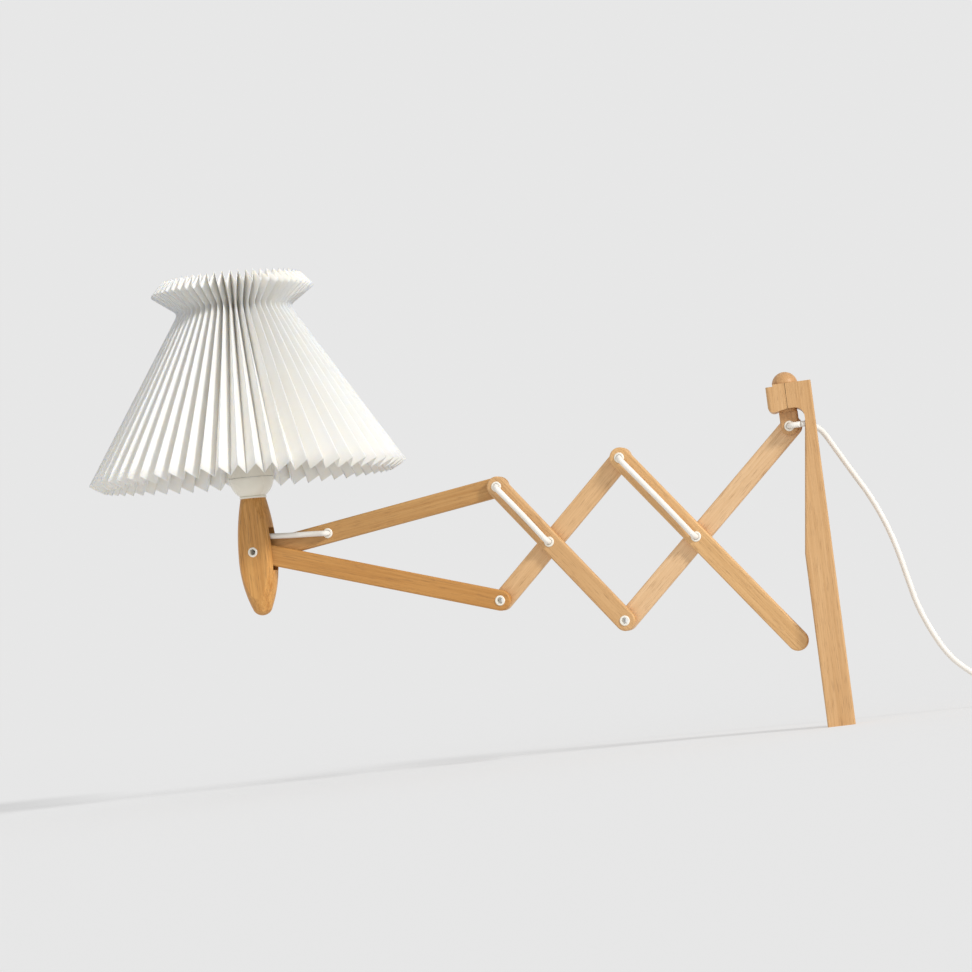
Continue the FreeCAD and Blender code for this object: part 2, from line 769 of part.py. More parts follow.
def shade_profile():
    """Middle line of the pleats at rim, waist and top: radius, height, outward normal and depth of the pleat."""
    rim_to_waist = math.atan2(SHADE_RIM_R - SHADE_WAIST_R, SHADE_WAIST_Z - SHADE_RIM_Z)

    def depth(radius):
        return math.sqrt(PLEAT_WIDTH**2 - (math.pi * radius / PLEATS) ** 2)

    rim_normal = (math.cos(rim_to_waist), math.sin(rim_to_waist))
    rim_depth = depth(SHADE_RIM_R - PLEAT_WIDTH / 2)
    rim = (SHADE_RIM_R - rim_depth / 2 * rim_normal[0], SHADE_RIM_Z - rim_depth / 2 * rim_normal[1])
    waist_depth = depth(SHADE_WAIST_R - PLEAT_WIDTH / 2)
    waist = (SHADE_WAIST_R - waist_depth / 2, SHADE_WAIST_Z)
    flare = math.atan2(SHADE_TOP_MID_R - waist[0], SHADE_TOP_MID_Z - SHADE_WAIST_Z)
    top_normal = (math.cos(flare), -math.sin(flare))
    return [
        (rim, rim_normal, rim_depth),
        (waist, (1.0, 0.0), waist_depth),
        ((SHADE_TOP_MID_R, SHADE_TOP_MID_Z), top_normal, depth(SHADE_TOP_MID_R)),
    ]


def pleated_shade():
    """Folded paper of straight panels, ridge to valley, closed as one thin solid."""
    count = 2 * PLEATS
    levels = shade_profile()

    def point(level, step, skin):
        (radius, height), normal, depth = levels[level]
        side = 1 if step % 2 == 0 else -1
        offset = side * depth / 2 + skin * PAPER_SPAN / 2
        angle = math.pi * step / PLEATS
        reach = radius + normal[0] * offset
        return SHADE_CENTRE + V(reach * math.cos(angle), reach * math.sin(angle), height + normal[1] * offset)

    faces = []

    def quad(one, two, three, four):
        for corners in ((one, two, three), (one, three, four)):
            faces.append(Part.Face(Part.makePolygon(list(corners) + [corners[0]])))

    for step in range(count):
        after = (step + 1) % count
        for level in range(len(levels) - 1):
            for skin in (1, -1):
                quad(point(level, step, skin), point(level, after, skin),
                     point(level + 1, after, skin), point(level + 1, step, skin))
        for level in (0, len(levels) - 1):
            quad(point(level, step, 1), point(level, after, 1), point(level, after, -1), point(level, step, -1))
    shell = Part.Shell(faces)
    shell.sewShape()
    solid = Part.Solid(shell)
    if solid.Volume < 0:
        solid.reverse()
    return solid


def valley_radius():
    (radius, _), _, depth = shade_profile()[1]
    return radius - depth / 2 - PAPER_SPAN / 2


def waist_thread():
    radius = valley_radius() - THREAD_GAP - THREAD_R
    return Part.makeTorus(radius, THREAD_R, SHADE_CENTRE + V(0, 0, SHADE_WAIST_Z), AXIS_Z)


def carrier_base():
    return RING_NUT_BOTTOM + RING_NUT_HEIGHT


def shade_carrier():
    """A plate that sits on the socket's ring nut, with wires up to a ring in the waist."""
    low = carrier_base()
    hole = BALL_R + RING_NUT_CLEARANCE
    outer = RING_NUT_R + CARRIER_WIRE_R
    base = turned([(hole, low), (outer, low), (outer, low + CARRIER_PLATE_T), (hole, low + CARRIER_PLATE_T)], CENTRE)
    top_z = SHADE_WAIST_Z - THREAD_R - CARRIER_WIRE_R
    ring = Part.makeTorus(CARRIER_TOP_R, CARRIER_WIRE_R, CENTRE + V(0, 0, top_z), AXIS_Z)
    wires = []
    for number in range(CARRIER_ARMS):
        angle = 2 * math.pi * number / CARRIER_ARMS + math.pi / 6
        out = V(math.cos(angle), math.sin(angle), 0)
        foot = CENTRE + out * (RING_NUT_R - CARRIER_WIRE_R) + V(0, 0, low + CARRIER_PLATE_T / 2)
        head = CENTRE + out * CARRIER_TOP_R + V(0, 0, top_z)
        wires.append(rod(foot, head, CARRIER_WIRE_R))
    return base.fuse([ring] + wires).removeSplitter()


def ring_nut(low):
    hole = BALL_R + RING_NUT_CLEARANCE
    high = low + RING_NUT_HEIGHT
    edge = RING_NUT_HEIGHT / 5
    return turned(
        [
            (hole, low), (RING_NUT_R - edge, low), (RING_NUT_R, low + edge),
            (RING_NUT_R, high - edge), (RING_NUT_R - edge, high), (hole, high),
        ],
        CENTRE,
    )


def lead_in_holder():
    top = HOLDER_TOP + RING_HEIGHT + SOCKET_WALL + NUT_HEIGHT + NIPPLE_BORE_R
    return rod(CENTRE + V(0, 0, SLOT_TOP + CORD_END_GAP), CENTRE + V(0, 0, top), CORD_R - PIVOT_CLEARANCE)


def lead_on_holder_arm():
    """From the holder's slot along the front of the upper holder arm to the cord's eyelet and in."""
    along = unit(JOINT["upper_outer"] - HOLDER)
    up = AXIS_X.cross(along)
    rest = FAR_HIGH + CORD_REST / 2 + CORD_R
    crown = rest + CORD_CROWN
    flat = [(1.4, 18.9), (5.0, 13.9), (16.5, 10.6), (34.0, 6.8), (55.0, 2.9)]
    points = [HOLDER + V(rest, 0, 0) + along * run + up * rise for run, rise in flat]
    port = HOLDER + along * CORD_PORT
    points += [port + V(crown, 0, 0), port + V((FAR_HIGH + FAR_LOW) / 2, 0, 0)]
    return cord_tube("lead_on_holder_arm", points)


def lead_behind_holder_arm():
    """From the cord's eyelet along the back of the upper holder arm to its outer joint."""
    along = unit(JOINT["upper_outer"] - HOLDER)
    start = HOLDER + along * CORD_PORT
    end = JOINT["upper_outer"]
    middle = FAR_LOW - CORD_REST - CORD_R
    crown = middle - CORD_CROWN
    run = end - start
    return cord_tube(
        "lead_behind_holder_arm",
        [
            start + V((FAR_HIGH + FAR_LOW) / 2, 0, 0),
            start + V(crown, 0, 0),
            start + run * 0.2 + V(middle, 0, 0),
            start + run * 0.5 + V(middle - CORD_REST, 0, 0),
            start + run * 0.8 + V(middle, 0, 0),
            end + V(crown, 0, 0),
            end + V(MID_X, 0, 0),
        ],
    )


# ================================================================ free cord, coil and plug

FREE_ROUTE = [
    V(-12.0, -4.6, 110.0),
    V(-22.0, -4.6, 110.0),
    V(-31.7, 3.6, 105.6),
    V(-39.5, 12.0, 90.2),
    V(-42.4, 23.9, 68.1),
    V(-42.8, 39.9, 39.4),
    V(-41.9, 52.5, 4.7),
    V(-41.4, 59.7, -30.4),
    V(-40.6, 65.8, -58.9),
    V(-38.9, 83.2, -98.2),
    V(-37.6, 103.2, -117.4),
    V(-35.6, 121.9, -131.0),
    V(-33.9, 140.7, -140.3),
    V(-33.0, 157.5, -143.5),
    V(-33.0, 174.5, -143.5),
]


def biarc(start, leave, end, arrive):
    """Two tangent arcs from start to end with the given directions."""
    span = end - start
    both = leave + arrive
    slack = 2 * (1 - leave.dot(arrive))
    reach = (math.sqrt(span.dot(both) ** 2 + slack * span.dot(span)) - span.dot(both)) / slack
    first = start + leave * reach
    second = end - arrive * reach
    join = (first + second) * 0.5
    edges = []
    for begin, corner, finish in ((start, first, join), (join, second, end)):
        half = unit(corner - begin).getAngle(unit(finish - corner)) / 2
        radius = reach / math.tan(half)
        edges.append(Part.Arc(begin, arc_middle(begin, finish, corner, radius), finish).toShape())
    return edges


def coil_nodes():
    """Quarter-turn points of the coil with their directions: in along the floor, up, and out on top."""
    quarters = COIL_QUARTERS_IN
    step = COIL_PITCH / 4
    outer = COIL_INNER_R + quarters * step
    centre = COIL_START + V(outer, 0, 0)
    total = quarters + 2 + COIL_QUARTERS_OUT
    nodes = []
    for number in range(total + 1):
        angle = math.pi - number * math.pi / 2
        height, climb = 0.0, 0.0
        if number <= quarters:
            radius, rate = outer - step * number, -step
        elif number == quarters + 1:
            radius, rate, height, climb = COIL_INNER_R - step, 0.0, COIL_PITCH / 2, COIL_PITCH / 2
        else:
            radius, rate, height = COIL_INNER_R + step * (number - quarters - 2), step, COIL_PITCH
        if number in (0, total):
            rate = 0.0
        out = V(math.cos(angle), math.sin(angle), 0)
        forward = V(math.sin(angle), -math.cos(angle), 0)
        heading = unit(forward * (radius * math.pi / 2) + out * rate + AXIS_Z * climb)
        nodes.append((centre + out * radius + AXIS_Z * height, heading))
    return nodes


def cord_coil():
    nodes = coil_nodes()
    edges = [Part.LineSegment(nodes[0][0] - nodes[0][1] * 2 * CORD_R, nodes[0][0]).toShape()]
    for (start, leave), (end, arrive) in zip(nodes, nodes[1:]):
        edges += biarc(start, leave, end, arrive)
    edges.append(Part.LineSegment(nodes[-1][0], nodes[-1][0] + nodes[-1][1] * 2 * CORD_R).toShape())
    path = Part.Wire(edges)
    begin = nodes[0][0] - nodes[0][1] * 2 * CORD_R
    solid = sweep(path, CORD_R, begin, nodes[0][1])
    share = solid.Volume / (math.pi * CORD_R**2 * path.Length)
    print(f"cord_coil: length {path.Length:.1f}, volume over section x length {share:.4f}")
    print(f"cord_coil: least gap to itself {coil_gap(edges):.2f}")
    return solid


def coil_gap(edges):
    """Least distance between parts of the coil more than a third of a turn apart, less its diameter."""
    samples = []
    run = 0.0
    for edge in edges:
        pieces = 8
        for number in range(pieces):
            place = edge.FirstParameter + (edge.LastParameter - edge.FirstParameter) * number / pieces
            samples.append((run + edge.Length * number / pieces, edge.valueAt(place)))
        run += edge.Length
    apart = 2 * COIL_INNER_R
    least = min(
        (here - there).Length
        for index, (at, here) in enumerate(samples)
        for then, there in samples[index + 1:]
        if then - at > apart
    )
    return least - 2 * CORD_R


def tail_route():
    """From the coil's end, level, in gentle turns the same way to the plug."""
    place, heading = coil_nodes()[-1]
    here = place + heading * 2 * CORD_R
    points = [here]
    angle = math.degrees(math.atan2(heading.y, heading.x))
    for number, run in enumerate(TAIL_RUNS):
        turned_by = math.radians(angle + TAIL_TURN * number)
        here = here + V(math.cos(turned_by), math.sin(turned_by), 0) * run
        points.append(here)
    return points


def at_plug(shape):
    """Move a piece from the plug's own frame, cord entry at the origin and pins along +x, to its place."""
    points = tail_route()
    heading = points[-1] - points[-2]
    shape = shape.copy()
    shape.rotate(V(0, 0, 0), AXIS_Z, math.degrees(math.atan2(heading.y, heading.x)))
    shape.translate(points[-1])
    return shape


def plug_sleeve():
    taper = Part.makeCone(CORD_R + EYELET_WALL, PLUG_SLEEVE_R, PLUG_SLEEVE_LENGTH, V(0, 0, 0), AXIS_X)
    return at_plug(taper)


def plug_body():
    start = PLUG_SLEEVE_LENGTH
    low = V(start, -PLUG_WIDTH / 2, -PLUG_HEIGHT / 2)
    blank = box(low, low + V(PLUG_LENGTH, PLUG_WIDTH, PLUG_HEIGHT))
    blank = rounded(blank, PLUG_EDGE_R, lambda edge: edge.BoundBox.XLength > PLUG_LENGTH / 2)
    return at_plug(blank)


def plug_pins():
    start = PLUG_SLEEVE_LENGTH + PLUG_LENGTH
    pins = []
    for side in (-PLUG_PIN_SPACING / 2, PLUG_PIN_SPACING / 2):
        pin = Part.makeCylinder(PLUG_PIN_R, PLUG_PIN_LENGTH, V(start, side, 0), AXIS_X)
        pins.append(rounded(pin, PLUG_PIN_R / 2, lambda edge: edge.BoundBox.XMin > start + PLUG_PIN_LENGTH / 2))
    return at_plug(Part.makeCompound(pins))


# ================================================================ write every node


def save_linkage():
    j = JOINT
    port = HOLDER + unit(j["upper_outer"] - HOLDER) * CORD_PORT
    arms = {
        "arm_upper_holder": (HOLDER, j["upper_outer"], FAR_LOW, [HOLDER, port, j["upper_outer"]]),
        "arm_lower_holder": (HOLDER, j["lower_outer"], NEAR_LOW, [HOLDER, j["lower_outer"]]),
        "arm_outer_near": (
            j["upper_outer"], j["lower_inner"], NEAR_LOW, [j["upper_outer"], j["outer_crossing"], j["lower_inner"]],
        ),
        "arm_outer_far": (
            j["lower_outer"], j["upper_inner"], FAR_LOW, [j["lower_outer"], j["outer_crossing"], j["upper_inner"]],
        ),
        "arm_inner_near": (
            j["upper_inner"], j["free_end"], NEAR_LOW, [j["upper_inner"], j["inner_crossing"]],
        ),
        "arm_inner_far": (
            j["lower_inner"], j["hanger"], FAR_LOW, [j["lower_inner"], j["inner_crossing"], j["hanger"]],
        ),
    }
    for name, (start, end, low, holes) in arms.items():
        save_swung(name, arm(start, end, low, holes))
    for name in (
        "upper_outer", "lower_outer", "outer_crossing", "upper_inner", "lower_inner", "inner_crossing", "hanger"
    ):
        save_swung("eyelet_" + name, eyelet(j[name], FAR_LOW, NEAR_HIGH))
    save_swung("eyelet_cord_port", eyelet(port, FAR_LOW, FAR_HIGH))
    cords = {
        "lead_front_outer": ("upper_outer", "outer_crossing", True),
        "lead_back_outer": ("outer_crossing", "upper_inner", False),
        "lead_front_inner": ("upper_inner", "inner_crossing", True),
        "lead_back_inner": ("inner_crossing", "hanger", False),
    }
    for name, (start, end, front) in cords.items():
        save_swung(name, held_cord(name, j[start], j[end], front))
    save_swung("lead_on_holder_arm", lead_on_holder_arm())
    save_swung("lead_behind_holder_arm", lead_behind_holder_arm())


def save_holder():
    half = HOLDER_FLAT / 2
    inner_near = NEAR_LOW - LAYER_GAP / 3
    near = eyelet(V(0, 0, 0), inner_near, MID_X + half, back=False)
    rear = eyelet(V(0, 0, 0), MID_X - half, FAR_LOW - SLOT_CLEARANCE, front=False)
    pieces = {
        "lamp_holder": lamp_holder(),
        "eyelet_holder_near": near,
        "eyelet_holder_rear": rear,
        "collar_ring": collar_ring(),
        "socket_cup": socket_cup(),
        "socket_cap": socket_cap(),
        "nipple": nipple(),
        "lock_nut": lock_nut(),
        "socket_insert": insert(),
        "terminal_screws": terminals(),
        "thread_shell": thread_shell(),
        "centre_contact": centre_contact(),
        "bulb_cap": bulb_cap(),
        "bulb_glass": bulb_glass(),
        "shade_ring_lower": ring_nut(RING_NUT_BOTTOM),
        "shade_carrier": shade_carrier(),
        "pleated_shade": pleated_shade(),
        "waist_thread": waist_thread(),
        "lead_in_holder": lead_in_holder(),
    }
    for name, shape in pieces.items():
        save_swung(name, on_holder(shape))


def save_wall_side():
    save("wall_bar", wall_bar())
    save("head_block", head_block())
    save("head_dowels", dowels())
    save_swung("swivel_pin", swivel_pin())
    save_swung("lead_at_pin", lead_at_pin())
    save("lead_in_neck", lead_in_neck())
    save("free_cord", cord_tube("free_cord", FREE_ROUTE))
    save("cord_coil", cord_coil())
    save("cord_tail", cord_tube("cord_tail", tail_route()))
    save("plug_sleeve", plug_sleeve())
    save("plug_body", plug_body())
    save("plug_pins", plug_pins())


save_wall_side()
save_linkage()
save_holder()
swing = FreeCAD.Rotation(AXIS_Z, SWIVEL_AT_REST)
for joint_name, joint_place in JOINT.items():
    pin = V(0, -PIN_FROM_WALL, 0)
    at_rest = swing.multVec(joint_place + CENTRE - pin) + pin
    print(f"{joint_name}: x {at_rest.x:.3f} y {at_rest.y:.3f} z {at_rest.z:.3f}")
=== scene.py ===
"""Looks of the accordion wall lamp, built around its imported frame.

Metres, in the frame's own axes: +Z up, the wall plane at y = 0 and the lamp reaching along -y. The shade is
folded here from thin paper and the free cord is drawn as one smooth line, in place of their solids. Every
other solid of the frame keeps its shape and gets its finish.
"""

import json
import math
import random

import bpy
from mathutils import Matrix, Vector


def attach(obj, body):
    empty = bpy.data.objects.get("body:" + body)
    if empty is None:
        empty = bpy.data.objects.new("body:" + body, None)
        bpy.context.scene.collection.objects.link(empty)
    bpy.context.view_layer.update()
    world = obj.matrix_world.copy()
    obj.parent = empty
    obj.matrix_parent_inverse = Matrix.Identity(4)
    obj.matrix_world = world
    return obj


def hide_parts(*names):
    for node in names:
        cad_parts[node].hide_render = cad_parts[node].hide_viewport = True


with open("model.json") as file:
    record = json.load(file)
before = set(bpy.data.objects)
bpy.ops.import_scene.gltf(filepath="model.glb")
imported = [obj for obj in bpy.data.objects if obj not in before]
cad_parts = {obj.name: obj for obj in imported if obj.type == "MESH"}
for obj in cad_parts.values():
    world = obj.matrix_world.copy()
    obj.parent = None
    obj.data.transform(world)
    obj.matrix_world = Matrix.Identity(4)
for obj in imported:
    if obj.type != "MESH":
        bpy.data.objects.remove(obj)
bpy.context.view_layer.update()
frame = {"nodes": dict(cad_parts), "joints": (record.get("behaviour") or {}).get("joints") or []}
NODES = frame["nodes"]
PIVOT = {joint["name"]: Vector(joint["pos_m"]) for joint in frame["joints"]}
MM = 0.001

# ---------------------------------------------------------------- camera of the photograph
IMAGE_SIDE = 972
CAMERA_AZIMUTH = math.radians(97.067)
CAMERA_ELEVATION = math.radians(-3.054)
CAMERA_ROLL = math.radians(-7.169)
CAMERA_DISTANCE = 2.517
CAMERA_TARGET = Vector((-0.0496, -0.2922, 0.0961))
FOCAL_PIXELS = 2874
SENSOR_WIDTH = 36.0

# ---------------------------------------------------------------- shade
PLEATS = 58
PANEL_WIDTH = 16.5 * MM
HOLDER_LEAN = math.radians(-2.0)
SWING = math.radians(-10.4)  # the linkage as stored, about the swivel pin
RIM_RADIUS = 142.7 * MM
RIM_HEIGHT = 71.8 * MM
WAIST_RADIUS = 50.6 * MM
WAIST_HEIGHT = 219.8 * MM
COLLAR_RADIUS = 68.4 * MM
COLLAR_HEIGHT = 242.8 * MM
SHADE_OFFSET = Vector((0.0, -2.4, 0.0)) * MM
PAPER_THICKNESS = 0.4 * MM

# ---------------------------------------------------------------- free cord
CORD_DIAMETER = 5.0 * MM
FLOOR_HEIGHT = -146.0 * MM
QUARTERS_IN = 18
QUARTERS_UP = 2
QUARTERS_OUT = 17
COIL_INNER_RADIUS = 17.5 * MM
COIL_PITCH = 5.6 * MM
COIL_START = Vector((-33.0, 179.5, -143.5)) * MM
POINTS_PER_QUARTER = 3
TAIL_RUNS = (22.0 * MM, 20.0 * MM, 18.0 * MM)
TAIL_TURN = math.radians(-16.0)


# ================================================================ materials


def add_node(tree, kind, settings=None, **inputs):
    """A shader node; a keyword names an input, with spaces as underscores, and gives a value or a socket."""
    node = tree.nodes.new(kind)
    for key, value in (settings or {}).items():
        setattr(node, key, value)
    for key, value in inputs.items():
        connect(tree, node.inputs[key.replace("_", " ")], value)
    return node


def connect(tree, socket, value):
    if isinstance(value, bpy.types.NodeSocket):
        tree.links.new(value, socket)
    else:
        socket.default_value = value


def reckon(tree, operation, first, second=None):
    node = tree.nodes.new("ShaderNodeMath")
    node.operation = operation
    connect(tree, node.inputs[0], first)
    if second is not None:
        connect(tree, node.inputs[1], second)
    return node.outputs[0]


# Places of the colour sockets on a mix node, which has others for numbers and directions.
COLOUR_SHARE, COLOUR_UNDER, COLOUR_OVER = 0, 6, 7
COLOUR_RESULT = 2


def blend_colour(tree, share, under, over):
    node = tree.nodes.new("ShaderNodeMix")
    node.data_type = "RGBA"
    for socket, value in ((COLOUR_SHARE, share), (COLOUR_UNDER, under), (COLOUR_OVER, over)):
        connect(tree, node.inputs[socket], value)
    return node.outputs[COLOUR_RESULT]


def blend_surface(tree, share, under, over):
    node = tree.nodes.new("ShaderNodeMixShader")
    for socket, value in zip(node.inputs, (share, under.outputs[0], over.outputs[0])):
        tree.links.new(value, socket)
    return node.outputs[0]


def remap(tree, value, low, high, out_low=0.0, out_high=1.0):
    return add_node(
        tree, "ShaderNodeMapRange", Value=value, From_Min=low, From_Max=high, To_Min=out_low, To_Max=out_high
    ).outputs[0]


def new_group(name, inputs):
    """A shader group that gives a surface's looks; its inputs are named with the kind of each socket."""
    tree = bpy.data.node_groups.new(name, "ShaderNodeTree")
    outputs = {"Colour": "Color", "Height": "Float", "Roughness": "Float"}
    for way, sockets in (("INPUT", inputs), ("OUTPUT", outputs)):
        for label, kind in sockets.items():
            tree.interface.new_socket(label, in_out=way, socket_type="NodeSocket" + kind)
    source = tree.nodes.new("NodeGroupInput")
    result = tree.nodes.new("NodeGroupOutput")
    return tree, source.outputs, result.inputs


def stretched(tree, place, across, along):
    """Texture coordinates with y drawn out along the grain."""
    return add_node(tree, "ShaderNodeMapping", Vector=place, Scale=(across, along, across)).outputs[0]


def drawn_out_noise(tree, place, across, along, detail, rough, twist, low, high):
    """Noise drawn out along the grain, as a mask that rises from low to high."""
    node = add_node(
        tree, "ShaderNodeTexNoise", Vector=stretched(tree, place, across, along), Scale=1.0, Detail=detail,
        Roughness=rough, Distortion=twist,
    )
    return remap(tree, node.outputs["Fac"], low, high)


# Each layer of the grain: repeats per metre across and along it, then how the noise is made and cut.
GROWTH_BANDS = dict(across=240.0, along=5.0, detail=3.0, rough=0.55, twist=0.5, low=0.33, high=0.68)
FINE_FIBRES = dict(across=760.0, along=11.0, detail=4.0, rough=0.7, twist=0.0, low=0.38, high=0.62)
DARK_PORES = dict(across=1500.0, along=60.0, detail=2.0, rough=0.6, twist=0.0, low=0.56, high=0.68)
BOARD_CLOUDS = dict(across=28.0, along=9.0, detail=2.0, rough=0.55, twist=0.0, low=0.3, high=0.7)
FIBRE_SHARE = 0.5
CLOUD_SHARE = 0.15
DARK_SHARE = 0.85
PORE_COLOUR = (0.26, 0.12, 0.045, 1)
FIBRE_RELIEF = 0.4
OAK_ROUGHNESS = (0.46, 0.7)  # between the pores and in them


def oak_grain_group():
    """Oak: growth bands, fine fibres and short dark pores, all drawn out along y."""
    tree, source, result = new_group(
        "oak_grain",
        {"Place": "Vector", "Light": "Color", "Dark": "Color", "Bands": "Float", "Pores": "Float"},
    )
    layers = (GROWTH_BANDS, FINE_FIBRES, DARK_PORES, BOARD_CLOUDS)
    bands, fibres, pores, clouds = (drawn_out_noise(tree, source["Place"], **layer) for layer in layers)
    tone = reckon(tree, "MULTIPLY", bands, source["Bands"])
    tone = reckon(tree, "ADD", tone, reckon(tree, "MULTIPLY", fibres, FIBRE_SHARE))
    tone = reckon(tree, "ADD", tone, reckon(tree, "MULTIPLY", clouds, CLOUD_SHARE))
    tone = reckon(tree, "MINIMUM", reckon(tree, "MULTIPLY", tone, DARK_SHARE), 1.0)
    colour = blend_colour(tree, tone, source["Light"], source["Dark"])
    in_pores = reckon(tree, "MULTIPLY", pores, source["Pores"])
    colour = blend_colour(tree, in_pores, colour, PORE_COLOUR)
    tree.links.new(colour, result["Colour"])
    height = reckon(tree, "SUBTRACT", reckon(tree, "MULTIPLY", fibres, FIBRE_RELIEF), pores)
    tree.links.new(height, result["Height"])
    tree.links.new(remap(tree, in_pores, 0.0, 1.0, *OAK_ROUGHNESS), result["Roughness"])
    return tree


SKIN_DETAIL = 3.0
CLOUD_CUT = (0.35, 0.65)


def fine_skin_group():
    """A nearly even surface: faint clouds of tone and gloss, and a fine even relief."""
    tree, source, result = new_group(
        "fine_skin",
        {
            "Place": "Vector",
            "Base": "Color",
            "Shade": "Color",
            "Cloud Scale": "Float",
            "Skin Scale": "Float",
            "Roughness Low": "Float",
            "Roughness High": "Float",
        },
    )
    clouds, skin = (
        add_node(
            tree, "ShaderNodeTexNoise", Vector=source["Place"], Scale=source[scale], Detail=SKIN_DETAIL
        ).outputs["Fac"]
        for scale in ("Cloud Scale", "Skin Scale")
    )
    share = remap(tree, clouds, *CLOUD_CUT)
    tree.links.new(blend_colour(tree, share, source["Base"], source["Shade"]), result["Colour"])
    tree.links.new(skin, result["Height"])
    rough = remap(tree, share, 0.0, 1.0, source["Roughness Low"], source["Roughness High"])
    tree.links.new(rough, result["Roughness"])
    return tree


OAK_GRAIN = oak_grain_group()
FINE_SKIN = fine_skin_group()


def new_material(name):
    material = bpy.data.materials.new(name)
    material.use_nodes = True
    tree = material.node_tree
    shader = tree.nodes["Principled BSDF"]
    place = tree.nodes.new("ShaderNodeTexCoord").outputs["Object"]
    return material, tree, shader, place


def use_group(tree, group, **inputs):
    return add_node(tree, "ShaderNodeGroup", {"node_tree": group}, **inputs).outputs


def set_shader(shader, values):
    for name, value in values.items():
        shader.inputs[name].default_value = value


def finish_surface(tree, shader, looks, bump_strength, bump_depth):
    tree.links.new(looks["Colour"], shader.inputs["Base Color"])
    tree.links.new(looks["Roughness"], shader.inputs["Roughness"])
    bump = add_node(
        tree, "ShaderNodeBump", Strength=bump_strength, Distance=bump_depth, Height=looks["Height"]
    )
    tree.links.new(bump.outputs[0], shader.inputs["Normal"])


BOARD_STEP = Vector((0.31, 0.17, 0.23))  # from one piece's place in the board to the next one's
OAK_BUMP = 0.25
OAK_BUMP_DEPTH = 0.3 * MM
OAK_SHEEN = {"Specular IOR Level": 0.35, "Coat Weight": 0.05, "Coat Roughness": 0.35}
BOARD_LIGHT = (0.73, 0.45, 0.215, 1)
BOARD_DARK = (0.53, 0.285, 0.11, 1)
BOARD_BANDS = 0.45
BOARD_PORES = 0.4


def oiled_oak(
    name, grain_angle, shift, swing=SWING, light=BOARD_LIGHT, dark=BOARD_DARK, bands=BOARD_BANDS,
    pores=BOARD_PORES,
):
    """Oak whose grain runs at an angle from +y towards +z, cut from its own place in the board."""
    material, tree, shader, place = new_material(name)
    squared = add_node(
        tree, "ShaderNodeVectorRotate", {"rotation_type": "Z_AXIS"}, Vector=place, Angle=-swing
    )
    turned = add_node(
        tree, "ShaderNodeMapping", Vector=squared.outputs[0], Rotation=(-grain_angle, 0, 0),
        Location=BOARD_STEP * shift,
    )
    looks = use_group(
        tree, OAK_GRAIN, Place=turned.outputs[0], Light=light, Dark=dark, Bands=bands, Pores=pores
    )
    finish_surface(tree, shader, looks, OAK_BUMP, OAK_BUMP_DEPTH)
    set_shader(shader, OAK_SHEEN)
    return material


SKIN_BUMP = 0.1
SKIN_BUMP_DEPTH = 0.2 * MM
COAT_ROUGHNESS = 0.12


def plain_skin(name, base, shade, rough, metal=0.0, clouds=60.0, skin=1800.0, coat=0.0):
    """A skin between two close colours; clouds and skin are the repeats per metre of its tone and relief."""
    material, tree, shader, place = new_material(name)
    looks = use_group(
        tree, FINE_SKIN, Place=place, Base=(*base, 1), Shade=(*shade, 1), Cloud_Scale=clouds,
        Skin_Scale=skin, Roughness_Low=rough[0], Roughness_High=rough[1],
    )
    finish_surface(tree, shader, looks, SKIN_BUMP, SKIN_BUMP_DEPTH)
    set_shader(shader, {"Metallic": metal, "Coat Weight": coat, "Coat Roughness": COAT_ROUGHNESS})
    return material


def dress(material, *names):
    for name in names:
        slots = NODES[name].data.materials
        slots.clear()
        slots.append(material)


# ================================================================ finishes of the frame's solids

UPRIGHT = math.radians(90)


def arm_angle(start, end):
    run = end - start
    return math.atan2(run.z, math.copysign(math.hypot(run.x, run.y), run.y))


ARM_TONES_AND_SHADE = {  # light and dark of each arm's board; the two holder arms are darker, with painted shade for the shadow of the lampshade above them
    "arm_upper_holder": ((0.61, 0.345, 0.125, 1), (0.44, 0.21, 0.06, 1)),
    "arm_lower_holder": ((0.64, 0.32, 0.09, 1), (0.46, 0.20, 0.045, 1)),
    "arm_outer_near": ((0.74, 0.45, 0.205, 1), (0.55, 0.30, 0.118, 1)),
    "arm_outer_far": ((0.80, 0.51, 0.26, 1), (0.61, 0.355, 0.155, 1)),
    "arm_inner_near": ((0.82, 0.505, 0.23, 1), (0.61, 0.34, 0.13, 1)),
    "arm_inner_far": ((0.86, 0.58, 0.33, 1), (0.70, 0.43, 0.21, 1)),
}
PIN_TONES = dict(light=(0.66, 0.38, 0.17, 1), dark=(0.50, 0.26, 0.10, 1))
# The lamp holder's tones are painted light: lighter than its oak, to make up for the lampshade's shadow on
# its top.
HOLDER_TONES_AND_LIGHT = dict(light=(0.75, 0.40, 0.122, 1), dark=(0.48, 0.20, 0.042, 1), bands=0.6, pores=0.6)


def dress_oak():
    dress(oiled_oak("oak_wall_bar", UPRIGHT, 1.0, swing=0.0), "wall_bar")
    dress(oiled_oak("oak_head_block", UPRIGHT, 2.0, swing=0.0), "head_block")
    dress(oiled_oak("oak_swivel_pin", UPRIGHT, 3.0, **PIN_TONES), "swivel_pin")
    dress(oiled_oak("oak_lamp_holder", UPRIGHT, 4.0, **HOLDER_TONES_AND_LIGHT), "lamp_holder")
    ends = {
        "arm_upper_holder": (PIVOT["upper_outer_joint"], PIVOT["shade_tilt"]),
        "arm_lower_holder": (PIVOT["lower_outer_joint"], PIVOT["shade_tilt"]),
        "arm_outer_near": (PIVOT["upper_outer_joint"], PIVOT["outer_cross"]),
        "arm_outer_far": (PIVOT["upper_inner_joint"], PIVOT["outer_cross"]),
        "arm_inner_near": (PIVOT["upper_inner_joint"], PIVOT["inner_cross"]),
        "arm_inner_far": (PIVOT["inner_cross"], PIVOT["fold"]),
    }
    for number, (name, (start, end)) in enumerate(ends.items()):
        light, dark = ARM_TONES_AND_SHADE[name]
        dress(oiled_oak("oak_" + name, arm_angle(start, end), 5.0 + number, light=light, dark=dark), name)
    dress(oiled_oak("oak_dowel", 0.0, 12.0), "head_dowels")


